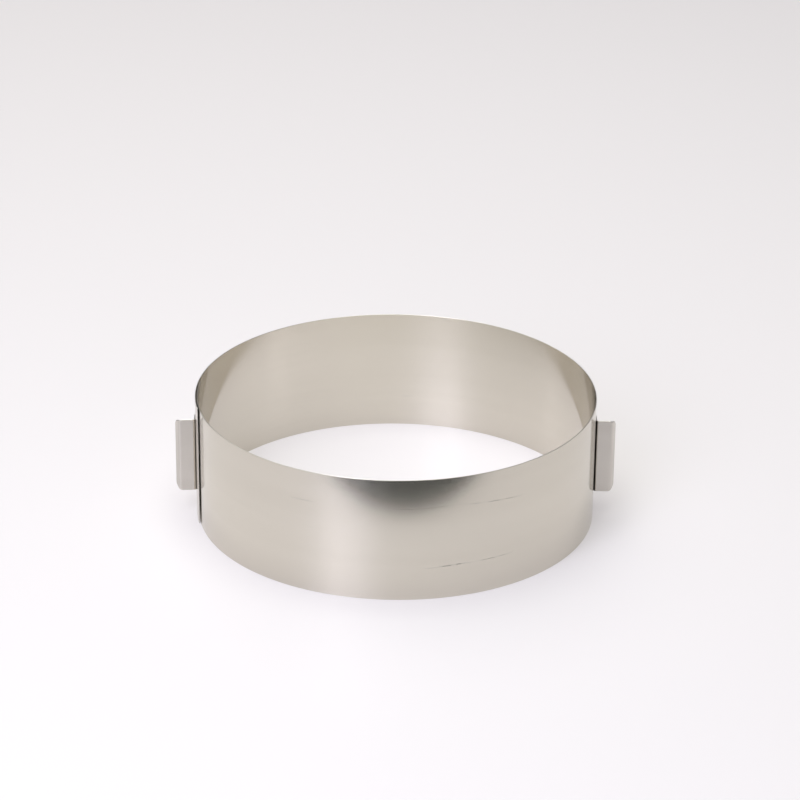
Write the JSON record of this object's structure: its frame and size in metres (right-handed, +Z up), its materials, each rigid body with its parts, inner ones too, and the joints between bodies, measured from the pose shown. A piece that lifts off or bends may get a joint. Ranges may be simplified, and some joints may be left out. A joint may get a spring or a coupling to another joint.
{
  "type": "pastry ring",
  "caption": "Adjustable stainless steel pastry ring, a coiled strip that laps inside itself with folded sheet grips at opposite sides, used to shape and set cakes.",
  "frame": {"origin": "centre of the ring in the plane of the rim that stands on the table", "axes": "+Z up along the ring's axis, +X towards the right grip, -Y the front"},
  "size_m": [0.2949, 0.2675, 0.085],
  "materials": {
    "strip_steel": "rolled stainless strip, semi-bright, grain along the strip",
    "grip_steel": "rolled stainless sheet, semi-bright"
  },
  "bodies": {
    "root": {"ring_band": "strip_steel", "left_grip": "grip_steel", "right_grip": "grip_steel"}
  },
  "joints": []
}
